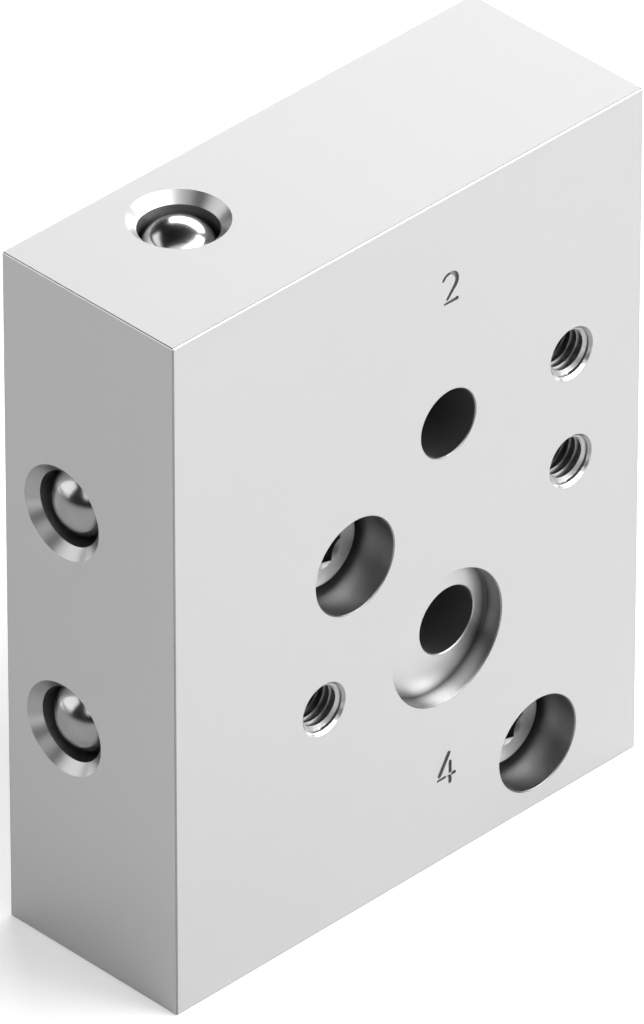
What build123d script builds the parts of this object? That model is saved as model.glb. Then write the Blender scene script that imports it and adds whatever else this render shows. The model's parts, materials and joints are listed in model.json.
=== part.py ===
from build123d import *
import os
from math import radians, sqrt, tan

# Valve mounting plate: a drilled block that turns a valve's port pattern a quarter turn.
# The valve bolts to the front face (-Y), and the plate's own two screws hold its back face (+Y)
# to the actuator. +X is to the right seen from the front, +Z is up, and the origin lies in the
# middle of the bottom face. All sizes are in millimetres.

os.makedirs("parts", exist_ok=True)

# Block
block_width = 60.0
block_depth = 22.0
block_height = 74.0
edge_rounding = 0.15
rim_break = 0.1

# Port and screw pattern, the same on both faces: two ports and two screws on a diagonal
port_pitch = 24.0
screw_pitch = 32.0
coding_offset = 12.0
pattern_to_right_face = 25.0
valve_centre_z = 37.0
base_centre_z = 23.0

# Ports
port_bore = 7.0
port_4_shift = 2.0
recess_bore = 14.1
recess_depth = 2.1
drill_point_angle = 118.0

# Channels that join the ports inside the block, and the balls that close their open ends
channel_to_back = 7.4
spine_offset = 8.0
ball_bore = 7.7
ball_seat_width = 0.85
ball_centre_depth = 4.05
ball_press_clearance = 0.01
plug_chamfer = 1.0

# Tapped holes for the valve's screws and its coding pin
thread_bore = 4.2
thread_countersink = 5.55
thread_depth = 8.0

# Mounting screws and their counterbores
screw_thread = 5.0
screw_shank = 4.5
screw_length = 20.0
screw_head = 8.5
screw_head_height = 5.0
screw_head_edge = 0.2
screw_tip_chamfer = 0.6
socket_flats = 4.1
socket_depth = 2.5
socket_countersink = 4.8
head_recess = 4.25
head_side_clearance = 0.75
thread_side_clearance = 0.25

# Seals in the back face
seal_inside = 16.0
seal_cord = 2.0
seal_side_clearance = 0.1
seal_proud = 0.5


def drill_point(radius):
    """Depth of the cone that a twist drill of this radius leaves."""
    return radius / tan(radians(drill_point_angle / 2))


def front_mouth(x, z):
    """Mouth of a hole in the front face."""
    return Plane(origin=(x, -block_depth / 2, z), x_dir=(1, 0, 0), z_dir=(0, -1, 0))


def back_mouth(x, z):
    """Mouth of a hole in the back face."""
    return Plane(origin=(x, block_depth / 2, z), x_dir=(-1, 0, 0), z_dir=(0, 1, 0))


def section_of(mouth):
    """Plane through a hole's axis: its X is the radius and its Y the depth into the block."""
    return Plane(origin=mouth.origin, x_dir=mouth.x_dir, z_dir=mouth.y_dir)


def axis_of(mouth):
    """A hole's axis, out of its mouth."""
    return Axis(mouth.origin, mouth.z_dir)


# Places of the ports, screws and channels
pattern_x = block_width / 2 - pattern_to_right_face
channel_y = block_depth / 2 - channel_to_back
port_2_z = valve_centre_z + port_pitch / 2
port_4_z = valve_centre_z - port_pitch / 2
port_4_x = pattern_x + port_4_shift
base_left_x = pattern_x - port_pitch / 2
base_right_x = pattern_x + port_pitch / 2
spine_x = base_left_x - spine_offset
port_radius = port_bore / 2
port_reach = block_depth / 2 + channel_y

valve_screw_places = {
    "upper": (pattern_x + screw_pitch / 2, port_2_z),
    "lower": (pattern_x - screw_pitch / 2, port_4_z),
    "coding": (pattern_x + screw_pitch / 2, port_2_z - coding_offset),
}
mounting_screw_places = {
    "upper": (base_left_x, base_centre_z + screw_pitch / 2),
    "lower": (base_right_x, base_centre_z - screw_pitch / 2),
}
seal_places = {"left": base_left_x, "right": base_right_x}

# A channel runs past the port that it meets by its own radius, so that the two open fully
ball_radius = ball_bore / 2
channel_radius = ball_radius - ball_seat_width
seat_depth = ball_centre_depth + sqrt(ball_radius**2 - channel_radius**2)
left_face_x = -block_width / 2
right_face_x = block_width / 2

# Each channel is its mouth and its depth, from the face that it is drilled from
channels = {
    "left_upper": (
        Plane(origin=(left_face_x, channel_y, port_2_z), x_dir=(0, -1, 0), z_dir=(-1, 0, 0)),
        pattern_x - left_face_x + channel_radius,
    ),
    "left_lower": (
        Plane(origin=(left_face_x, channel_y, port_4_z), x_dir=(0, -1, 0), z_dir=(-1, 0, 0)),
        base_left_x - left_face_x + channel_radius,
    ),
    "top": (
        Plane(origin=(spine_x, channel_y, block_height), x_dir=(1, 0, 0), z_dir=(0, 0, 1)),
        block_height - port_4_z + channel_radius,
    ),
    "right": (
        Plane(origin=(right_face_x, channel_y, port_4_z), x_dir=(0, 1, 0), z_dir=(1, 0, 0)),
        right_face_x - port_4_x + channel_radius,
    ),
}

# Counterbores and seal recesses, from the pieces that sit in them
counterbore_radius = screw_head / 2 + head_side_clearance
counterbore_depth = head_recess + screw_head_height
screw_hole_radius = screw_thread / 2 + thread_side_clearance
seal_centre_radius = (seal_inside + seal_cord) / 2
seal_recess_radius = seal_centre_radius + seal_cord / 2 + seal_side_clearance
seal_recess_depth = seal_cord - seal_proud

# Block with all its holes
with BuildPart() as plate_body:
    with BuildSketch():
        Rectangle(block_width, block_depth)
    extrude(amount=block_height)
    fillet(plate_body.edges(), radius=edge_rounding)

    # Channels: a chamfered ball bore, the shoulder that the ball sits on, the channel and its drill point
    for mouth, reach in channels.values():
        with BuildSketch(section_of(mouth)):
            with BuildLine():
                Polyline(
                    (0, 0),
                    (ball_radius + plug_chamfer, 0),
                    (ball_radius, plug_chamfer),
                    (ball_radius, seat_depth),
                    (channel_radius, seat_depth),
                    (channel_radius, reach),
                    (0, reach + drill_point(channel_radius)),
                    close=True,
                )
            make_face()
        revolve(axis=axis_of(mouth), mode=Mode.SUBTRACT)

    # Ports, from the front and from the back, drilled through the channels that they meet
    port_mouths = [
        (front_mouth(pattern_x, port_2_z), port_reach + channel_radius),
        (front_mouth(port_4_x, port_4_z), port_reach + channel_radius),
        (back_mouth(base_left_x, base_centre_z), channel_to_back + channel_radius),
        (back_mouth(base_right_x, base_centre_z), channel_to_back + channel_radius),
    ]
    for mouth, reach in port_mouths:
        with BuildSketch(section_of(mouth)):
            with BuildLine():
                Polyline(
                    (0, 0),
                    (port_radius, 0),
                    (port_radius, reach),
                    (0, reach + drill_point(port_radius)),
                    close=True,
                )
            make_face()
        revolve(axis=axis_of(mouth), mode=Mode.SUBTRACT)

    # Milled recess that widens port 4 back to the middle of the valve's own port
    with BuildSketch(front_mouth(pattern_x, port_4_z)):
        Circle(recess_bore / 2)
    extrude(amount=-recess_depth, mode=Mode.SUBTRACT)

    # Recesses for the seals round the two base ports
    for x in seal_places.values():
        with BuildSketch(back_mouth(x, base_centre_z)):
            Circle(seal_recess_radius)
        extrude(amount=-seal_recess_depth, mode=Mode.SUBTRACT)

    # Tapped holes: countersink, core bore and drill point
    thread_radius = thread_bore / 2
    countersink_radius = thread_countersink / 2
    for x, z in valve_screw_places.values():
        mouth = front_mouth(x, z)
        with BuildSketch(section_of(mouth)):
            with BuildLine():
                Polyline(
                    (0, 0),
                    (countersink_radius, 0),
                    (thread_radius, countersink_radius - thread_radius),
                    (thread_radius, thread_depth),
                    (0, thread_depth + drill_point(thread_radius)),
                    close=True,
                )
            make_face()
        revolve(axis=axis_of(mouth), mode=Mode.SUBTRACT)

    # Counterbored through holes for the mounting screws
    for x, z in mounting_screw_places.values():
        with Locations(front_mouth(x, z)):
            CounterBoreHole(screw_hole_radius, counterbore_radius, counterbore_depth)

    # Lightly broken rims, each given by its mouth and the radius of its bore
    rims = [
        (front_mouth(pattern_x, port_2_z), port_radius),
        (front_mouth(port_4_x, port_4_z).offset(-recess_depth), port_radius),
        (front_mouth(pattern_x, port_4_z), recess_bore / 2),
    ]
    rims += [(front_mouth(x, z), counterbore_radius) for x, z in mounting_screw_places.values()]
    for x in seal_places.values():
        rims.append((back_mouth(x, base_centre_z), seal_recess_radius))
        rims.append((back_mouth(x, base_centre_z).offset(-seal_recess_depth), port_radius))
    for mouth, radius in rims:
        with BuildSketch(section_of(mouth)):
            with BuildLine():
                Polyline(
                    (0, 0),
                    (radius + rim_break, 0),
                    (radius, rim_break),
                    (0, rim_break),
                    close=True,
                )
            make_face()
        revolve(axis=axis_of(mouth), mode=Mode.SUBTRACT)

plate_body.part.label = "plate_body"
export_step(plate_body.part, "parts/plate_body.step")

# Balls pressed into the channel mouths until they sit on the shoulder
for name, (mouth, reach) in channels.items():
    with BuildPart(mouth.offset(-ball_centre_depth)) as plug_ball:
        Sphere(ball_radius - ball_press_clearance)
    plug_ball.part.label = f"plug_ball_{name}"
    export_step(plug_ball.part, f"parts/plug_ball_{name}.step")

# Socket head cap screws, with the head's underside on the counterbore's floor. The shank is reduced
# inside the plate, as on a rolled screw, and threaded where it stands out behind
socket_mouth_radius = socket_countersink / 2
thread_end_radius = screw_thread / 2
screw_end = screw_head_height + screw_length
plate_back = block_depth - head_recess
for name, (x, z) in mounting_screw_places.items():
    head_top = front_mouth(x, z).offset(-head_recess)
    with BuildPart() as mounting_screw:
        with BuildSketch(section_of(head_top)):
            with BuildLine():
                Polyline(
                    (0, 0),
                    (screw_head / 2 - screw_head_edge, 0),
                    (screw_head / 2, screw_head_edge),
                    (screw_head / 2, screw_head_height),
                    (screw_shank / 2, screw_head_height),
                    (screw_shank / 2, plate_back),
                    (thread_end_radius, plate_back),
                    (thread_end_radius, screw_end - screw_tip_chamfer),
                    (thread_end_radius - screw_tip_chamfer, screw_end),
                    (0, screw_end),
                    close=True,
                )
            make_face()
        revolve(axis=axis_of(head_top))
        # Hexagon socket with its drilled bottom
        with BuildSketch(head_top):
            RegularPolygon(socket_flats / 2, 6, major_radius=False, rotation=30)
        extrude(amount=-socket_depth, mode=Mode.SUBTRACT)
        with BuildSketch(section_of(head_top)):
            with BuildLine():
                Polyline(
                    (0, socket_depth),
                    (socket_flats / 2, socket_depth),
                    (0, socket_depth + drill_point(socket_flats / 2)),
                    close=True,
                )
            make_face()
        revolve(axis=axis_of(head_top), mode=Mode.SUBTRACT)
        # Countersunk entry over the hexagon's corners
        with BuildSketch(section_of(head_top)):
            with BuildLine():
                Polyline(
                    (0, 0),
                    (socket_mouth_radius, 0),
                    (0, socket_mouth_radius),
                    close=True,
                )
            make_face()
        revolve(axis=axis_of(head_top), mode=Mode.SUBTRACT)
    mounting_screw.part.label = f"mounting_screw_{name}"
    export_step(mounting_screw.part, f"parts/mounting_screw_{name}.step")

# O-rings that lie on the floors of their recesses and stand proud of the back face
for name, x in seal_places.items():
    cord_plane = back_mouth(x, base_centre_z).offset(seal_cord / 2 - seal_recess_depth)
    with BuildPart(cord_plane) as base_seal:
        Torus(seal_centre_radius, seal_cord / 2)
    base_seal.part.label = f"base_seal_{name}"
    export_step(base_seal.part, f"parts/base_seal_{name}.step")
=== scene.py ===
"""Dresses a packed valve mounting plate.

It cuts the threads and the port digits into the drilled block, and makes the plug balls, the cap
screws and the O-rings. Every size is in metres and every piece lies in the frame of the packed
model: the origin in the middle of the block's bottom face, +X to the right, the front face towards
-Y and +Z up.
"""

import json
import math

import bmesh
import bpy
import numpy as np
from bpy.props import FloatProperty, FloatVectorProperty, IntProperty, PointerProperty
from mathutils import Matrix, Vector


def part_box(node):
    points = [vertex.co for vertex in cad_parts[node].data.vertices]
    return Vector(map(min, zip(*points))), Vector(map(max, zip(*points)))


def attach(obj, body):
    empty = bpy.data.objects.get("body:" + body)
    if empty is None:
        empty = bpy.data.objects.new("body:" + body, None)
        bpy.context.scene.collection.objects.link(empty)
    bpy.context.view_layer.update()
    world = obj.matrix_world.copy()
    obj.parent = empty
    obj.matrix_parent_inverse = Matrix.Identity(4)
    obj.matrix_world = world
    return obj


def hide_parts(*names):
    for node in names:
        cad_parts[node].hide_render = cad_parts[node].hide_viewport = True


bl_info = {
    "name": "Valve Mounting Plate",
    "version": (1, 0, 0),
    "blender": (4, 5, 0),
    "location": "3D View > Sidebar > Valve Plate",
    "description": "Cuts a valve plate's threads and digits, and makes its balls, screws and seals",
    "category": "Object",
}

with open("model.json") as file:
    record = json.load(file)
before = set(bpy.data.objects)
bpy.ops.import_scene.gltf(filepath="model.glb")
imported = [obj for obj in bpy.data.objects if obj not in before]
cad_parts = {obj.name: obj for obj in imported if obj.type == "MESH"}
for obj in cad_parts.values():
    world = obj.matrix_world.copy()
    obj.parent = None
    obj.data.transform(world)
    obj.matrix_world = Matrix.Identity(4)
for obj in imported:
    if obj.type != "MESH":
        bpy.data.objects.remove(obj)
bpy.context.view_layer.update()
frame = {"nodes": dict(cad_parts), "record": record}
BODY = "root"
MM = 0.001
TURN = 2 * math.pi

PLATE_LOW, PLATE_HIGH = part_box("plate_body")
FRONT, BACK = PLATE_LOW.y, PLATE_HIGH.y
MOUNTS = {mount["name"]: mount for mount in frame["record"]["mounts"]}

# The ports that the digits 2 and 4 mark, and whether each digit stands above its port or below
DIGITS = (("port_2", 1), ("port_4_recess", -1))

# A metric thread's depth as a share of its pitch, and the angle of a drill's point
THREAD_DEPTH = 0.613
DRILL_POINT = math.radians(118)

# Corners nearer than this are one corner, and a face nearer than this to an outer face is on it
SNAP = 1e-6

# Azimuth and elevation of each softbox as the camera's, in degrees, then its width and height
SOFTBOXES = {
    "key": (6, 44, 1.26, 0.69),
    "fill": (39, 31, 1.01, 0.78),
    "side": (118, 28, 1.30, 0.66),
    "rear": (-140, 23, 1.18, 0.95),
    "front": (-33, 43, 1.88, 0.94),
}
# What the camera faces, seen from the middle of the plate
AIM_SHIFT = Vector((-0.37, 0, -0.66)) * MM


def family(start):
    """The nodes whose names start alike."""
    return sorted(node for node in frame["nodes"] if node.startswith(start))


def place(mount):
    """A mount's stated point."""
    return Vector(MOUNTS[mount]["pos_m"])


def dimension(mount, key):
    """A mount's stated size, in metres."""
    return MOUNTS[mount]["dims"][key] * MM


def tapped_places():
    """Where the three tapped holes are: the coding hole, and the valve's two screws.

    The screws' mount states the middle between the two, and the upper one stands over the coding
    hole at the height of port 2.
    """
    coding = place("coding_thread")
    upper = Vector((coding.x, FRONT, place("port_2").z))
    lower = 2 * place("valve_screw_threads") - upper
    return [(spot.x, spot.z) for spot in (upper, coding, lower)]


# ---- Sizes and finishes that a user would change


def length(name, description, value):
    """A length property in metres."""
    return FloatProperty(
        name=name, description=description, default=value, min=0.0, precision=5, unit="LENGTH"
    )


def angle(name, description, degrees):
    """An angle property, with its default given in degrees."""
    return FloatProperty(
        name=name, description=description, default=math.radians(degrees), subtype="ANGLE"
    )


def power(name, description, value):
    """A lamp's power in watts."""
    return FloatProperty(name=name, description=description, default=value, min=0.0, unit="POWER")


def colour(name, description, value):
    """A colour property."""
    return FloatVectorProperty(
        name=name, description=description, default=value, size=3, min=0, max=1, subtype="COLOR"
    )


def share(name, description, value):
    """A property from 0 to 1."""
    return FloatProperty(
        name=name, description=description, default=value, min=0, max=1, subtype="FACTOR"
    )


class ValvePlateSizes(bpy.types.PropertyGroup):
    """Sizes of what is cut into the block and of its small pieces"""

    pitch: length("Thread pitch", "Rise of the threads in one turn", 0.8 * MM)
    thread_outside: length(
        "Thread diameter",
        "Outside diameter of the threads",
        2 * dimension("base_screws", "stud_r_mm"),
    )
    thread_reach: length("Thread reach", "Depth to which the tapped holes are threaded", 6.9 * MM)
    thread_entry: length("Thread entry", "Depth of the plain entry before the first turn", 0.5 * MM)
    digit_height: length("Digit height", "Height of the port digits", 3.35 * MM)
    digit_distance: length("Digit distance", "From a port's centre to its digit's", 14.83 * MM)
    groove_width: length("Groove width", "Width of the broadest engraved strokes", 0.5 * MM)
    groove_depth: length("Groove depth", "Depth of the engraved strokes", 0.25 * MM)
    socket_flats: length("Socket size", "Distance across the hexagon socket's flats", 4.1 * MM)
    socket_depth: length("Socket depth", "Depth of the hexagon", 2.5 * MM)
    socket_mouth: length("Socket mouth", "Diameter of the socket's countersunk mouth", 4.8 * MM)
    head_height: length("Head height", "Height of the screw heads", 5.0 * MM)
    head_edge: length("Head edge", "Radius of the screw heads' top edge", 0.2 * MM)
    shank: length("Shank", "Diameter of the screws' reduced shank", 4.5 * MM)
    parting_line: length("Parting line", "Height of the O-rings' moulding line", 0.03 * MM)
    columns: IntProperty(
        name="Facets", description="Facets round each turned piece", default=96, min=24, step=24
    )


class ValvePlateFinishes(bpy.types.PropertyGroup):
    """Colours and gloss of the materials"""

    anodised: colour("Anodised aluminium", "Colour of the outer faces", (0.48, 0.483, 0.482))
    anodised_roughness: share("Anodised roughness", "Roughness of the outer faces", 0.44)
    anodised_metal: share(
        "Anodised metal", "How far the outer faces shine as bare metal under their satin skin", 0.4
    )
    recess: colour("Recess", "Colour of the milled recess", (0.5, 0.503, 0.502))
    recess_roughness: share("Recess roughness", "Roughness of the milled recess", 0.34)
    chamfer: colour("Chamfers", "Colour of the turned chamfers", (0.84, 0.843, 0.84))
    chamfer_roughness: share("Chamfer roughness", "Roughness of the turned chamfers", 0.33)
    # Painted shade: the chamfers are darkened where they don't face up
    chamfer_painted_shade: share(
        "Chamfer painted shade", "How much darker the chamfers are where they don't face up", 0.7
    )
    # Painted shade: the deep bores' walls get a dark colour
    bored: colour("Bored aluminium", "Colour of the deep bores' walls", (0.33, 0.332, 0.33))
    bored_roughness: share("Bored roughness", "Roughness of the deep bores' walls", 0.42)
    thread: colour("Threads", "Colour of the cut threads", (0.42, 0.423, 0.42))
    thread_roughness: share("Thread roughness", "Roughness of the cut threads", 0.4)
    edge: colour("Rounded edges", "Colour of the block's rounded edges", (0.95, 0.953, 0.953))
    edge_roughness: share("Edge roughness", "Roughness of the rounded edges", 0.25)
    edge_metal: share("Edge metal", "How far the rounded edges shine as bare metal", 0.85)
    # Painted shade: the edges are darkened where they don't slant upwards
    edge_painted_shade: share(
        "Edge painted shade", "How much darker the edges are where they don't slant upwards", 0.75
    )
    engraved: colour("Engraving", "Colour of the engraved strokes", (0.21, 0.21, 0.21))
    engraved_roughness: share("Engraving roughness", "Roughness of the engraved strokes", 0.45)
    engraved_metal: share("Engraving metal", "How far the strokes shine as bare metal", 0.6)
    ball: colour("Ball steel", "Colour of the polished balls", (0.9, 0.9, 0.89))
    ball_roughness: share("Ball roughness", "Roughness of the polished balls", 0.2)
    # Painted shade: the balls are darkened where they don't face up
    ball_painted_shade: share(
        "Ball painted shade", "How much darker the balls are where they don't face up", 0.75
    )
    screw: colour("Zinc plating", "Colour of the screws", (0.6, 0.61, 0.6))
    screw_roughness: share("Zinc roughness", "Roughness of the screws", 0.4)
    rubber: colour("Seal rubber", "Colour of the O-rings", (0.02, 0.02, 0.021))
    rubber_roughness: share("Rubber roughness", "Roughness of the O-rings", 0.55)


class ValvePlateStudio(bpy.types.PropertyGroup):
    """Camera, lamps and floor"""

    azimuth: angle("Azimuth", "Camera's angle round the plate", -44.78)
    elevation: angle("Elevation", "Camera's angle above the floor", 34.94)
    distance: length("Distance", "From the camera to the plate", 1.5)
    lens: FloatProperty(
        name="Lens", description="Focal length in millimetres", default=574.2, min=1, unit="CAMERA"
    )
    lamp_distance: length("Lamp distance", "From the softboxes to the plate", 1.26)
    key: power("Key lamp", "Power of the front softbox", 4.8)
    fill: power("Fill lamp", "Power of the front right softbox", 16.2)
    side: power("Side lamp", "Power of the right rear softbox", 12.9)
    rear: power("Rear lamp", "Power of the left rear softbox", 3.0)
    front: power("Front lamp", "Power of the wide softbox over the camera", 3.8)
    ambient: colour("Ambient", "Colour of the room's light", (0.0, 0.0, 0.0))
    floor: colour("Floor", "Colour of the floor", (0.94, 0.94, 0.94))
    floor_reach: length("Floor reach", "From the plate to the floor's sides", 3.0)
    glow: share("Glow", "What makes the floor white where the camera or gloss sees it", 0.34)


# ---- Meshes from numpy grids


def ring_faces(ids, loop=False):
    """Quads between neighbours of a grid of vertex numbers.

    The grid's rows are closed rings, and its columns close too if loop.
    """
    right = np.roll(ids, -1, axis=1)
    quads = np.stack([ids, np.roll(ids, -1, axis=0), np.roll(right, -1, axis=0), right], axis=-1)
    return (quads if loop else quads[:-1]).reshape(-1, 4).tolist()


def ring_mesh(name, points, tips=None, loop=False):
    """Closed mesh of rings, points[ring, column].

    Its ends run to two tips, are flat, or meet each other if loop. The columns run anticlockwise
    seen from before the first ring, so the faces point outwards.
    """
    rows, columns = points.shape[:2]
    ids = np.arange(rows * columns).reshape(rows, columns)
    faces = ring_faces(ids, loop)
    corners = points.reshape(-1, 3)
    if tips is not None:
        first, last = rows * columns, rows * columns + 1
        corners = np.vstack([corners, tips])
        start, end = ids[0], ids[-1]
        faces += np.stack([np.full(columns, first), start, np.roll(start, -1)], axis=-1).tolist()
        faces += np.stack([np.full(columns, last), np.roll(end, -1), end], axis=-1).tolist()
    elif not loop:
        faces += [ids[0].tolist(), ids[-1][::-1].tolist()]
    mesh = bpy.data.meshes.new(name)
    mesh.from_pydata(corners.tolist(), [], faces)
    mesh.update()
    return mesh


def angles(columns):
    """Even angles round a circle."""
    return np.arange(columns) * TURN / columns


def turned(centre, radius, depth):
    """Points of a turned form about an axis along +Y, with one angle a for each column.

    A point is (x + radius cos a, y + depth, z + radius sin a).
    """
    radius, depth = np.broadcast_arrays(radius, depth)
    a = angles(radius.shape[1])
    return np.stack(
        [centre[0] + radius * np.cos(a), centre[1] + depth, centre[2] + radius * np.sin(a)], axis=-1
    )


def ridge(depth, around, pitch):
    """How far a metric thread stands out, from 0 at its root to 1 at its crest.

    The phase of a right-hand thread is depth / pitch + the angle around / a turn. Its root is flat
    for a quarter of the pitch and its crest for an eighth, with straight flanks between.
    """
    phase = (depth / pitch + around / TURN) % 1.0
    off_crest = np.abs(phase - 0.5) * 2
    root, crest = 0.75, 0.125
    return np.clip((root - off_crest) / (root - crest), 0, 1)


def stroke_outline(stroke, steps=8):
    """Outline of a stroke.

    Its path is moved half its width to either side, and a half circle goes round each end.
    """
    path, half = stroke[:, :2], stroke[:, 2:] / 2
    heading = np.gradient(path, axis=0)
    heading /= np.linalg.norm(heading, axis=1, keepdims=True)
    ahead = heading * half
    left = ahead[:, ::-1] * (-1, 1)
    t = np.linspace(0, math.pi, steps + 2)[1:-1, None]
    far_end = path[-1] + left[-1] * np.cos(t) + ahead[-1] * np.sin(t)
    near_end = path[0] - left[0] * np.cos(t) - ahead[0] * np.sin(t)
    return np.vstack([path + left, far_end, (path - left)[::-1], near_end])[::-1]


def straight(start, end, width, end_width=None):
    """A straight stroke: rows of its path's x and z and its width, from one width to the other."""
    return np.linspace((*start, width), (*end, end_width or width), 5)


def digit_two():
    """Strokes of a 2 that is one unit high, with the broadest as one.

    They are the lead-in, the bow that runs into the diagonal, and the foot. The bow is an arc about
    (0.01, 0.22), and widens as it comes round.
    """
    a = np.radians(np.linspace(150, -45, 30))
    radius = 0.28
    width = np.interp(a, (0.6, 1.5), (1.0, 0.62))
    arc = np.column_stack([0.01 + radius * np.cos(a), 0.22 + radius * np.sin(a), width])
    lead_in, bow = arc[:9], arc[11:]
    diagonal = straight(arc[-1, :2], (-0.07, -0.305), 0.85, 0.7)
    foot = straight((-0.18, -0.435), (0.3, -0.43), 0.45, 0.8)
    return [lead_in, np.vstack([bow, diagonal[1:]]), foot]


def digit_four():
    """Strokes of an open 4 that is one unit high.

    They are the diagonal, and the bar and the stem, both parted at their crossing.
    """
    stem_bend = straight((0.05, -0.265), (0.115, -0.32), 0.5, 0.85)
    stem_end = straight((0.12, -0.34), (0.125, -0.49), 0.85)
    return [
        straight((0.065, 0.5), (-0.29, -0.11), 1.05, 1.0),
        straight((-0.36, -0.255), (-0.08, -0.252), 0.5, 0.6),
        straight((0.215, -0.252), (0.3, -0.252), 0.75),
        straight((0.125, 0.185), (0.125, -0.14), 0.8, 0.85),
        np.vstack([stem_bend, stem_end]),
    ]


def put(name, data):
    """A new object in the scene."""
    made = bpy.data.objects.new(name, data)
    bpy.context.scene.collection.objects.link(made)
    return made


def add_piece(name, mesh, materials, slot, *nodes):
    """Puts a finished mesh into the scene as a piece that stands for CAD nodes."""
    piece = put(name, mesh)
    for material in materials:
        mesh.materials.append(material)
    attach(piece, BODY)
    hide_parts(*nodes)
    return piece


def smooth(mesh, degrees=30):
    """Smooth shading up to edges sharper than the given angle."""
    mesh.shade_smooth()
    mesh.set_sharp_from_angle(angle=math.radians(degrees))


def read(items, key, parts=1, kind=float):
    """A value of all of a mesh's items as one array, with a row for each item if it has parts."""
    values = np.empty(len(items) * parts, kind)
    items.foreach_get(key, values)
    return values.reshape(-1, parts) if parts > 1 else values


def merged_points(mesh):
    """A mesh's corners with doubles merged, and its triangles without those that this closes."""
    corners = read(mesh.vertices, "co", 3)
    _, kept, number = np.unique(
        np.round(corners / SNAP), axis=0, return_index=True, return_inverse=True
    )
    triangles = number.reshape(-1)[read(mesh.loops, "vertex_index", kind=int)].reshape(-1, 3)
    a, b, c = triangles.T
    return corners[kept], triangles[(a != b) & (b != c) & (c != a)]


# ---- Materials


class Signal:
    """An output socket that takes part in Python's arithmetic. Each operator adds one Math node."""

    def __init__(self, finish, socket):
        self.finish = finish
        self.socket = socket

    def maths(self, operation, first, second):
        """One Math node."""
        return self.finish.node("ShaderNodeMath", {"operation": operation}, {0: first, 1: second})

    def __add__(self, other):
        return self.maths("ADD", self, other)

    def __sub__(self, other):
        return self.maths("SUBTRACT", self, other)

    def __rsub__(self, other):
        return self.maths("SUBTRACT", other, self)

    def __mul__(self, other):
        return self.maths("MULTIPLY", self, other)

    def __truediv__(self, other):
        return self.maths("DIVIDE", self, other)

    def __rtruediv__(self, other):
        return self.maths("DIVIDE", other, self)

    def __pow__(self, other):
        return self.maths("POWER", self, other)

    def __rpow__(self, other):
        return self.maths("POWER", other, self)

    __radd__ = __add__
    __rmul__ = __mul__


class Finish:
    """A material in the making."""

    def __init__(self, name):
        self.material = bpy.data.materials.new(name)
        self.material.use_nodes = True
        self.tree = self.material.node_tree
        self.tree.nodes.clear()

    def node(self, kind, settings=None, sockets=None, output=0):
        """Adds a node: its settings first, then the values or links of its sockets.

        Returns one output, if it has any.
        """
        made = self.tree.nodes.new(kind)
        for key, value in (settings or {}).items():
            setattr(made, key, value)
        for key, value in (sockets or {}).items():
            if isinstance(value, Signal):
                self.tree.links.new(value.socket, made.inputs[key])
            else:
                made.inputs[key].default_value = value
        return Signal(self, made.outputs[output]) if made.outputs else None

    def position(self):
        """The point on the piece, in metres."""
        return self.node("ShaderNodeTexCoord", output="Object")

    def axes(self, where):
        """The three parts of a point."""
        split = self.node("ShaderNodeSeparateXYZ", sockets={0: where})
        return [Signal(self, socket) for socket in split.socket.node.outputs]

    def attribute(self, name):
        """A value that the mesh holds for each of its corners."""
        return self.node("ShaderNodeAttribute", {"attribute_name": name}, output="Fac")

    def seen(self):
        """1 for what the camera sees by itself or through gloss or glass.

        It is 0 for the light that a surface gives off.
        """
        path = self.node("ShaderNodeLightPath").socket.node.outputs
        rays = ("Is Camera Ray", "Is Glossy Ray", "Is Transmission Ray")
        camera, gloss, glass = (Signal(self, path[ray]) for ray in rays)
        return camera + gloss + glass

    def noise(self, where, scale, detail=2.0):
        """Noise from 0 to 1, with scale features to the metre."""
        sockets = {"Vector": where, "Scale": scale, "Detail": detail}
        return self.node("ShaderNodeTexNoise", sockets=sockets)

    def mix(self, mask, first, second):
        """A colour between two, by a mask."""
        settings = {"data_type": "RGBA", "clamp_factor": True}
        sockets = {0: mask, 6: (*first, 1), 7: (*second, 1)}
        return self.node("ShaderNodeMix", settings, sockets, output=2)

    def clamped(self, value):
        """A value held between 0 and 1."""
        return self.node("ShaderNodeClamp", sockets={0: value})

    def facing_up(self, low, high):
        """0 where the surface's upward part is below low, 1 above high, and even between."""
        up = self.axes(self.node("ShaderNodeTexCoord", output="Normal"))[2]
        return self.clamped((up - low) / (high - low))

    def bump(self, height, distance):
        """A normal from a height of 0 to 1 that stands for the given distance."""
        return self.node("ShaderNodeBump", sockets={"Height": height, "Distance": distance})

    def surface(self, **sockets):
        """The shader and the output. Returns the material."""
        named = {key.replace("_", " ").title(): value for key, value in sockets.items()}
        shader = self.node("ShaderNodeBsdfPrincipled", sockets=named)
        self.node("ShaderNodeOutputMaterial", sockets={"Surface": shader})
        return self.material


def shade(value, factor):
    """A colour made darker or lighter, at most white."""
    return tuple(min(1.0, part * factor) for part in value)


def varied(value, noise, spread):
    """A value that a noise of 0 to 1 moves by up to half the spread either way."""
    return value + (noise - 0.5) * spread


def anodised_finish(looks):
    """Satin anodised aluminium: a fine blasted grain, and a slow drift of tone."""
    finish = Finish("satin_anodised_aluminium")
    where = finish.position()
    grain = finish.noise(where, scale=7000, detail=1.0)
    drift = finish.noise(where, scale=45, detail=1.0)
    return finish.surface(
        base_color=finish.mix(drift, shade(looks.anodised, 0.985), shade(looks.anodised, 1.01)),
        metallic=looks.anodised_metal,
        roughness=varied(looks.anodised_roughness, grain, spread=0.05),
        normal=finish.bump(grain, distance=0.6e-6),
    )


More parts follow.
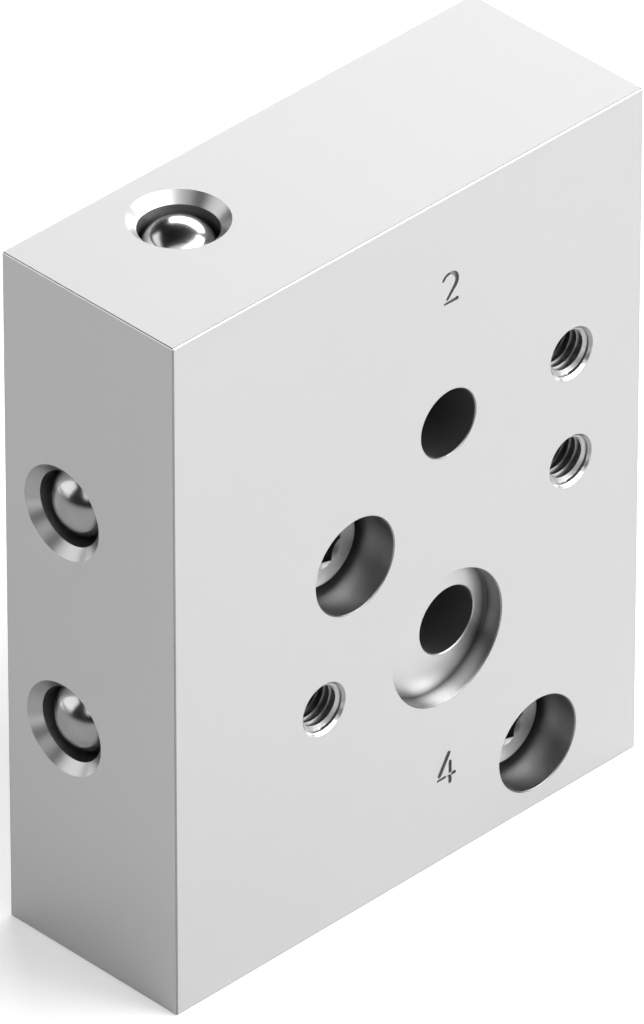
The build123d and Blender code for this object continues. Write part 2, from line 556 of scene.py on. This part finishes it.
def recess_finish(looks):
    """The milled recess: as bright as the outer faces but glossier.

    It has painted shade in the corner, which falls off as 1 / (1 + (distance from
    the corner / reach) squared), and painted shade on its wall where it doesn't face up.
    """
    finish = Finish("milled_recess")
    where = finish.position()
    marks = finish.noise(where, scale=5200)
    recess = place("port_4_recess")
    radius = dimension("port_4_recess", "r_mm")
    floor = FRONT + dimension("port_4_recess", "length_mm")
    reach, wall_start = 0.5 * MM, 0.3 * MM
    x, y, z = finish.axes(where)
    across, up, down = x - recess.x, z - recess.z, y - floor
    out = (across * across + up * up) ** 0.5 - radius
    # Painted shade in the recess's corner
    corner_shade = 0.65 / ((out * out + down * down) / (reach * reach) + 1)
    on_wall = finish.clamped(down / -wall_start)
    # Painted shade on the wall where it doesn't face up
    turned_away_shade = 0.5 - finish.facing_up(0.1, 0.7) * 0.5
    painted_shade = corner_shade + on_wall * turned_away_shade
    return finish.surface(
        base_color=finish.mix(painted_shade, looks.recess, shade(looks.recess, 0.12)),
        metallic=1.0,
        roughness=varied(looks.recess_roughness, marks, spread=0.06),
        normal=finish.bump(marks, distance=0.5e-6),
    )


def chamfer_finish(looks):
    """Turned chamfers and countersinks.

    They are glossier than the outer faces, with fine feed marks, a painted highlight where they
    face up and painted shade elsewhere.
    """
    finish = Finish("turned_chamfer")
    marks = finish.noise(finish.position(), scale=5200)
    # Painted highlight where the chamfers face up, painted shade where they don't
    painted_light = varied(finish.facing_up(0.1, 0.65), marks, spread=0.1)
    painted_shade = shade(looks.chamfer, 1 - looks.chamfer_painted_shade)
    return finish.surface(
        base_color=finish.mix(painted_light, painted_shade, looks.chamfer),
        metallic=1.0,
        roughness=varied(looks.chamfer_roughness, marks, spread=0.08),
        normal=finish.bump(marks, distance=0.5e-6),
    )


def bored_finish(looks):
    """The deep bores: drilled walls with soft drill marks, darkened as painted shade.

    They are darker still on the narrow rims in the front face.
    """
    finish = Finish("bored_aluminium")
    where = finish.position()
    marks = finish.noise(where, scale=2600)
    rim_depth = 0.15 * MM
    rim = varied(1 - (finish.axes(where)[1] - FRONT) / rim_depth, marks, spread=0.2)
    return finish.surface(
        # The dark colour is painted shade
        base_color=finish.mix(rim, looks.bored, shade(looks.bored, 0.4)),
        metallic=1.0,
        roughness=varied(looks.bored_roughness, marks, spread=0.1),
        normal=finish.bump(marks, distance=1.0e-6),
    )


def thread_finish(looks):
    """Cut threads: torn a little, so greyer than milled walls, and with painted shade deeper in."""
    finish = Finish("tapped_aluminium")
    where = finish.position()
    grain = finish.noise(where, scale=6000)
    dark_depth = 4 * MM
    # Painted shade: darker the deeper the thread lies
    deep = varied((finish.axes(where)[1] - FRONT) / dark_depth, grain, spread=0.15)
    return finish.surface(
        base_color=finish.mix(deep, looks.thread, shade(looks.thread, 0.4)),
        metallic=1.0,
        roughness=varied(looks.thread_roughness, grain, spread=0.1),
        normal=finish.bump(grain, distance=0.8e-6),
    )


def edge_finish(looks):
    """The block's tumbled edges.

    They have a painted highlight where they slant upwards, and painted shade elsewhere and where
    they meet the top face.
    """
    finish = Finish("tumbled_edge")
    wear = finish.noise(finish.position(), scale=1500)
    # Painted highlight where the edges slant upwards, painted shade elsewhere
    slanting = finish.facing_up(0.05, 0.3) * (1 - finish.facing_up(0.8, 0.9))
    painted_light = varied(slanting, wear, spread=0.1)
    return finish.surface(
        base_color=finish.mix(painted_light, shade(looks.edge, 1 - looks.edge_painted_shade), looks.edge),
        metallic=looks.edge_metal,
        roughness=looks.edge_roughness,
    )


def engraved_finish(looks):
    """Engraved strokes: dark and matt."""
    finish = Finish("engraved_stroke")
    grain = finish.noise(finish.position(), scale=9000)
    return finish.surface(
        base_color=finish.mix(grain, shade(looks.engraved, 0.8), shade(looks.engraved, 1.3)),
        metallic=looks.engraved_metal,
        roughness=looks.engraved_roughness,
    )


def ball_finish(looks):
    """Polished steel with faint handling marks, and much painted shade where it doesn't face up."""
    finish = Finish("polished_steel")
    smears = finish.noise(finish.position(), scale=700, detail=3.0)
    # Painted shade where the balls don't face up
    painted_light = finish.facing_up(0.36, 0.52)
    return finish.surface(
        base_color=finish.mix(painted_light, shade(looks.ball, 1 - looks.ball_painted_shade), looks.ball),
        metallic=1.0,
        roughness=looks.ball_roughness + smears * 0.03,
    )


def screw_finish(looks):
    """Zinc-plated steel with turning rings along the profile.

    The socket is darkened with painted shade.
    """
    finish = Finish("turned_zinc_plate")
    grain = finish.noise(finish.position(), scale=4000)
    feed = 0.12 * MM
    phase = finish.attribute("reach") * (TURN / feed)
    rings = finish.node("ShaderNodeMath", {"operation": "SINE"}, {0: phase})
    # Painted shade in the hexagon socket
    dark = varied(finish.attribute("inside") * 0.9, grain, spread=0.15)
    return finish.surface(
        base_color=finish.mix(dark, looks.screw, shade(looks.screw, 0.12)),
        metallic=1.0,
        roughness=varied(looks.screw_roughness, grain, spread=0.1),
        normal=finish.bump(rings * 0.25 + grain, distance=1.0e-6),
    )


def rubber_finish(looks):
    """Matt rubber with a soft moulded skin."""
    finish = Finish("black_rubber")
    skin = finish.noise(finish.position(), scale=2500, detail=3.0)
    return finish.surface(
        base_color=finish.mix(skin, shade(looks.rubber, 0.8), shade(looks.rubber, 1.3)),
        roughness=varied(looks.rubber_roughness, skin, spread=0.1),
        normal=finish.bump(skin, distance=4e-6),
    )


# The plate's finishes, in the order of its material slots
PLATE_FINISHES = (
    anodised_finish,
    chamfer_finish,
    recess_finish,
    bored_finish,
    thread_finish,
    edge_finish,
    engraved_finish,
)


# ---- Operators, one for each group of like pieces


class CutPlate(bpy.types.Operator):
    """Cut the threads and the port digits into a merged copy of the drilled block"""

    bl_idname = "valve_plate.cut_plate"
    bl_label = "Cut plate"

    def execute(self, context):
        sizes, looks = context.scene.valve_plate_sizes, context.scene.valve_plate_finishes
        corners, triangles = merged_points(frame["nodes"]["plate_body"].data)
        mesh = bpy.data.meshes.new("plate")
        mesh.from_pydata(corners.tolist(), [], triangles.tolist())
        cutters = [thread_cutter(spot, sizes) for spot in tapped_places()]
        for strokes, (port, way) in zip((digit_two(), digit_four()), DIGITS):
            spot = place(port) + Vector((0, 0, way * sizes.digit_distance))
            cutters += [stroke_cutter(stroke, spot, sizes) for stroke in strokes]
        mesh = cut(mesh, cutters)
        mesh.name = "plate"
        mark_walls(mesh, sizes)
        smooth(mesh)
        materials = [make(looks) for make in PLATE_FINISHES]
        plate = add_piece("plate", mesh, materials, "anodised_aluminium", "plate_body")
        # Large faces keep their own normals, and the rounded edges turn from one to the next
        even = plate.modifiers.new("even", "WEIGHTED_NORMAL")
        even.mode, even.keep_sharp = "FACE_AREA", True
        return {"FINISHED"}


def thread_cutter(spot, sizes):
    """What a tap takes out round one hole, full at the entry and fading out at the bottom.

    Its radius is inner + (outside - inner) * fade * ridge. It starts before the front face, and its
    inner part is a little narrower than the drilled hole.
    """
    x, z = spot
    clearance, start, per_turn = 0.05 * MM, -0.4 * MM, 24
    inner = dimension("coding_thread", "r_mm") - clearance
    steps = np.arange(sizes.thread_entry, sizes.thread_reach, sizes.pitch / per_turn)
    depth = np.append(start, steps)[:, None]
    fade = np.clip((sizes.thread_reach - depth) / sizes.pitch, 0, 1)
    turns = fade * ridge(depth, angles(sizes.columns), sizes.pitch)
    height = np.where(depth <= sizes.thread_entry, 1.0, turns)
    radius = inner + (sizes.thread_outside / 2 - inner) * height
    tips = [(x, FRONT + end, z) for end in (depth[0, 0], depth[-1, 0])]
    return ring_mesh("thread_cutter", turned((x, FRONT, z), radius, depth), tips)


def stroke_cutter(stroke, spot, sizes):
    """A prism on a stroke's outline that reaches into the front face, narrower at its bottom."""
    narrow = 0.7
    rows = []
    for y, taper in ((-sizes.groove_depth, 1.0), (0.0, 1.0), (sizes.groove_depth, narrow)):
        width = sizes.groove_width * taper
        outline = stroke_outline(stroke * (sizes.digit_height, sizes.digit_height, width))
        level = np.full(len(outline), FRONT + y)
        rows.append(np.column_stack([spot.x + outline[:, 0], level, spot.z + outline[:, 1]]))
    return ring_mesh("stroke_cutter", np.array(rows))


def cut(mesh, cutters):
    """Takes each cutter out of a mesh."""
    context = bpy.context
    work = put("work", mesh)
    tools = []
    for cutter in cutters:
        tool = put(cutter.name, cutter)
        modifier = work.modifiers.new("cut", "BOOLEAN")
        modifier.operation, modifier.solver, modifier.object = "DIFFERENCE", "MANIFOLD", tool
        tools.append(tool)
    context.view_layer.update()
    result = bpy.data.meshes.new_from_object(work.evaluated_get(context.evaluated_depsgraph_get()))
    result.materials.clear()
    # The cuts leave corners a few nanometres apart, with slivers between them
    sliver = 1e-7
    welded = bmesh.new()
    welded.from_mesh(result)
    bmesh.ops.remove_doubles(welded, verts=welded.verts, dist=sliver)
    welded.to_mesh(result)
    welded.free()
    for tool in [work, *tools]:
        spare = tool.data
        bpy.data.objects.remove(tool)
        bpy.data.meshes.remove(spare)
    return result


def near(centre, spots, radius):
    """Which points lie within a radius of one of some axes along Y."""
    return np.any([np.hypot(centre[:, 0] - x, centre[:, 2] - z) < radius for x, z in spots], axis=0)


def mark_walls(mesh, sizes):
    """Gives each face one of the plate's finishes, by where it lies and which way it faces.

    Depth is how far a face lies under the nearest outer face, facing the cosine of the angle
    between the two, and behind how far it lies behind the front face.
    """
    centre, normal = read(mesh.polygons, "center", 3), read(mesh.polygons, "normal", 3)
    inset = np.minimum(centre - np.array(PLATE_LOW), np.array(PLATE_HIGH) - centre)
    nearest = np.argmin(inset, axis=1)[:, None]
    depth = np.min(inset, axis=1)
    facing = np.abs(np.take_along_axis(normal, nearest, axis=1))[:, 0]
    behind = centre[:, 1] - FRONT

    rim_width, edge_width, chamfer_depth = 0.1 * MM, 0.2 * MM, 1.1 * MM
    recess_radius, recess_depth = 7.2 * MM, dimension("port_4_recess", "length_mm")
    thread_radius, thread_depth = sizes.thread_outside / 2 + 0.01 * MM, 9 * MM
    digit_reach, digit_depth = sizes.digit_height, 1.2 * sizes.groove_depth
    level, shallow, steep = 0.999, 0.98, 0.2

    outer = (depth < SNAP) & (facing > level)
    # The narrow rims that only break a bore's edge keep the bores' finish
    wide = depth > rim_width
    recess = place("port_4_recess")
    in_recess = near(centre, [(recess.x, recess.z)], recess_radius)
    milled = in_recess & (behind < recess_depth + SNAP) & wide
    slanted = (facing > steep) & (facing < shallow) & (depth < chamfer_depth) & wide
    tapped = near(centre, tapped_places(), thread_radius) & (behind < thread_depth)
    rounded = np.sort(inset, axis=1)[:, 1] < edge_width
    digits = [(place(port).x, place(port).z + way * sizes.digit_distance) for port, way in DIGITS]
    engraved = near(centre, digits, digit_reach) & (behind < digit_depth)
    marks = (
        (chamfer_finish, slanted),
        (recess_finish, milled),
        (thread_finish, tapped),
        (edge_finish, rounded),
        (engraved_finish, engraved),
        (anodised_finish, outer),
    )
    index = np.full(len(centre), PLATE_FINISHES.index(bored_finish), np.int32)
    for finish, mask in marks:
        index[mask] = PLATE_FINISHES.index(finish)
    mesh.polygons.foreach_set("material_index", index)


class PressBalls(bpy.types.Operator):
    """Make the polished balls that close the channels"""

    bl_idname = "valve_plate.press_balls"
    bl_label = "Press balls"

    def execute(self, context):
        sizes, looks = context.scene.valve_plate_sizes, context.scene.valve_plate_finishes
        material = ball_finish(looks)
        # A sphere: r sin t is the distance from its axis, and -r cos t the distance along it
        t = np.linspace(0, math.pi, sizes.columns // 2 + 1)[1:-1, None]
        for node in family("plug_ball"):
            low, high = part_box(node)
            radius = (high.x - low.x) / 2
            centre = (low + high) / 2
            out = radius * np.sin(t) + np.zeros(sizes.columns)
            tips = [centre - Vector((0, radius, 0)), centre + Vector((0, radius, 0))]
            mesh = ring_mesh(f"{node}_polished", turned(centre, out, -radius * np.cos(t)), tips)
            smooth(mesh)
            add_piece(f"{node}_polished", mesh, [material], "chromed_ball", node)
        return {"FINISHED"}


class TurnScrews(bpy.types.Operator):
    """Make the cap screws with their hexagon sockets and threaded ends"""

    bl_idname = "valve_plate.turn_screws"
    bl_label = "Turn screws"

    def execute(self, context):
        sizes, looks = context.scene.valve_plate_sizes, context.scene.valve_plate_finishes
        material = screw_finish(looks)
        drill_depth = sizes.socket_depth + sizes.socket_flats / 2 / math.tan(DRILL_POINT / 2)
        for node in family("mounting_screw"):
            low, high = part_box(node)
            x, z = (low.x + high.x) / 2, (low.z + high.z) / 2
            head = (high.x - low.x) / 2
            radius, depth, reach = screw_profile(sizes, head, BACK - low.y, high.y - low.y)
            points = turned((x, low.y, z), radius, depth)
            tips = [(x, low.y + drill_depth, z), (x, high.y, z)]
            mesh = ring_mesh(f"{node}_threaded", points, tips)
            along = np.append(np.repeat(reach, points.shape[1]), [0.0, reach[-1]])
            # The third to fifth rings are the hexagon's top, the mouth and the face round it
            # Painted shade in the socket, fading out over the mouth
            inside = np.interp(along, reach[2:5], (1.0, 0.8, 0.0))
            for key, value in (("reach", along), ("inside", inside)):
                mesh.attributes.new(key, "FLOAT", "POINT").data.foreach_set("value", value)
            smooth(mesh)
            add_piece(f"{node}_threaded", mesh, [material], "zinc_plated_steel", node)
        return {"FINISHED"}


def screw_profile(sizes, head, plate_back, end):
    """Rings of a cap screw, from its socket's bottom over the head and along the shank to the tip.

    The hexagon's radius is flats / 2 / cos of the angle from the nearest flat's middle. Its
    countersunk mouth is a 45 degree cone, so the hexagon starts at depth mouth - radius. Returns
    each ring's radius, depth and reach along the profile.
    """
    columns = 2 * sizes.columns
    a, side = angles(columns), TURN / 6
    flats, mouth, edge = sizes.socket_flats / 2, sizes.socket_mouth / 2, sizes.head_edge
    hexagon = flats / np.cos((a + side) % side - side / 2)
    outside, shank, top = sizes.thread_outside / 2, sizes.shank / 2, sizes.head_height
    root = outside - THREAD_DEPTH * sizes.pitch
    # The ledge round the drill's point, the edge of the mouth, the fillet under the head, and the
    # chamfer of the tip
    ledge, lip, fillet, chamfer = 0.01 * MM, 0.05 * MM, 0.2 * MM, 0.6 * MM
    # Rings across the head's face and round its edge, and for each turn of the thread
    steps, per_turn = 6, 16
    rings = [(flats - ledge, sizes.socket_depth), (hexagon, sizes.socket_depth)]
    rings += [(hexagon, mouth - hexagon), (mouth, 0.0)]
    rings += [(r, 0.0) for r in np.linspace(mouth + lip, head - edge, steps)]
    bend = np.linspace(0, math.pi / 2, steps)[1:]
    rings += [(head - edge + edge * math.sin(t), edge - edge * math.cos(t)) for t in bend]
    rings += [(head, top - edge / 2), (head - edge / 2, top)]
    rings += [(shank + fillet, top), (shank, top + fillet), (shank, plate_back)]
    for depth in np.arange(plate_back, end, sizes.pitch / per_turn)[1:]:
        fade = min(1.0, (depth - plate_back) / (sizes.pitch / 2))
        full = root + (outside - root) * ridge(depth, a, sizes.pitch)
        cone = outside - chamfer + (end - depth)
        rings.append((np.minimum(shank + (full - shank) * fade, cone), depth))
    rings.append((outside - chamfer, end))
    radius = np.array([np.broadcast_to(r, columns) for r, _ in rings])
    depth = np.array([np.broadcast_to(d, columns) for _, d in rings])
    step = np.hypot(np.diff(radius[:, 0]), np.diff(depth[:, 0]))
    return radius, depth, np.append(0.0, np.cumsum(step))


class LaySeals(bpy.types.Operator):
    """Make the O-rings behind the two base ports"""

    bl_idname = "valve_plate.lay_seals"
    bl_label = "Lay seals"

    def execute(self, context):
        sizes, looks = context.scene.valve_plate_sizes, context.scene.valve_plate_finishes
        material = rubber_finish(looks)
        # The cord is round but for a low ridge where the mould's halves meet, inside and outside
        # the ring: its height falls off as exp(-(sin a / width) squared)
        a, line_width = angles(48)[:, None], 0.12
        line = sizes.parting_line * np.exp(-((np.sin(a) / line_width) ** 2))
        for node in family("base_seal"):
            low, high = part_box(node)
            centre = (low + high) / 2
            cord = (high.y - low.y) / 2
            ring = (high.x - low.x) / 2 - cord
            section = cord - sizes.parting_line + line
            radius = ring + section * np.cos(a) + np.zeros(2 * sizes.columns)
            points = turned(centre, radius, section * np.sin(a))
            mesh = ring_mesh(f"{node}_moulded", points, loop=True)
            smooth(mesh, degrees=60)
            add_piece(f"{node}_moulded", mesh, [material], "seal_rubber", node)
        return {"FINISHED"}


class SetStage(bpy.types.Operator):
    """Set up the floor, the softboxes, the room's light and the camera"""

    bl_idname = "valve_plate.set_stage"
    bl_label = "Set stage"

    def execute(self, context):
        scene = context.scene
        studio = scene.valve_plate_studio
        lay_floor(studio)

        middle = Vector(((PLATE_LOW.x + PLATE_HIGH.x) / 2, (FRONT + BACK) / 2, PLATE_HIGH.z / 2))
        for name, (azimuth, elevation, width, height) in SOFTBOXES.items():
            lamp = bpy.data.lights.new(name, "AREA")
            lamp.shape, lamp.size, lamp.size_y = "RECTANGLE", width, height
            lamp.energy = getattr(studio, name)
            towards = math.radians(azimuth), math.radians(elevation)
            stand(put(name, lamp), middle, *towards, studio.lamp_distance)

        world = bpy.data.worlds.new("room")
        world.use_nodes = True
        background = world.node_tree.nodes["Background"]
        background.inputs["Color"].default_value = (*studio.ambient, 1)
        scene.world = world

        lens = bpy.data.cameras.new("camera")
        lens.lens, lens.clip_start, lens.clip_end = studio.lens, 0.01, 20.0
        camera = put("camera", lens)
        stand(camera, middle + AIM_SHIFT, studio.azimuth, studio.elevation, studio.distance)
        scene.camera = camera
        scene.view_settings.view_transform = "Standard"
        return {"FINISHED"}


def lay_floor(studio):
    """A square of matt floor, which glows only where the camera or gloss sees it."""
    finish = Finish("pale_floor")
    cloud = finish.noise(finish.position(), scale=3.0, detail=1.0)
    paint = finish.surface(
        base_color=finish.mix(cloud, shade(studio.floor, 0.99), studio.floor),
        roughness=0.9,
        emission_color=(1, 1, 1, 1),
        emission_strength=finish.seen() * studio.glow,
    )
    reach = studio.floor_reach
    corners = [(-reach, -reach, 0), (reach, -reach, 0), (reach, reach, 0), (-reach, reach, 0)]
    mesh = bpy.data.meshes.new("floor")
    mesh.from_pydata(corners, [], [(0, 1, 2, 3)])
    mesh.materials.append(paint)
    floor = put("floor", mesh)


def stand(thing, aim, azimuth, elevation, distance):
    """Puts a lamp or the camera at a distance from what it faces.

    Its direction is (sin az cos el, -cos az cos el, sin el), so azimuth 0 is in front of the plate.
    """
    flat = math.cos(elevation)
    away = Vector((math.sin(azimuth) * flat, -math.cos(azimuth) * flat, math.sin(elevation)))
    thing.location = aim + away * distance
    thing.rotation_euler = (-away).to_track_quat("-Z", "Y").to_euler()


OPERATORS = (CutPlate, PressBalls, TurnScrews, LaySeals, SetStage)
GROUPS = {
    "valve_plate_sizes": ValvePlateSizes,
    "valve_plate_finishes": ValvePlateFinishes,
    "valve_plate_studio": ValvePlateStudio,
}


class ValvePlatePanel(bpy.types.Panel):
    """The plate's steps and settings"""

    bl_idname = "VIEW3D_PT_valve_plate"
    bl_label = "Valve mounting plate"
    bl_space_type = "VIEW_3D"
    bl_region_type = "UI"
    bl_category = "Valve Plate"

    def draw(self, context):
        """Lists every step, and below them a box for each group of settings."""
        for step in OPERATORS:
            self.layout.operator(step.bl_idname)
        for group, kind in GROUPS.items():
            box = self.layout.box()
            box.label(text=kind.__doc__)
            for name in kind.__annotations__:
                box.prop(getattr(context.scene, group), name)


def register():
    """Adds the classes, and hangs the settings on the scene."""
    for kind in (*GROUPS.values(), *OPERATORS, ValvePlatePanel):
        bpy.utils.register_class(kind)
    for group, kind in GROUPS.items():
        setattr(bpy.types.Scene, group, PointerProperty(type=kind))


def unregister():
    """Takes the settings and the classes away again."""
    for group in GROUPS:
        delattr(bpy.types.Scene, group)
    for kind in (ValvePlatePanel, *reversed(OPERATORS), *reversed(GROUPS.values())):
        bpy.utils.unregister_class(kind)


def main():
    """Makes every piece and the stage."""
    register()
    bpy.ops.valve_plate.cut_plate()
    bpy.ops.valve_plate.press_balls()
    bpy.ops.valve_plate.turn_screws()
    bpy.ops.valve_plate.lay_seals()
    bpy.ops.valve_plate.set_stage()


if __name__ == "__main__":
    main()
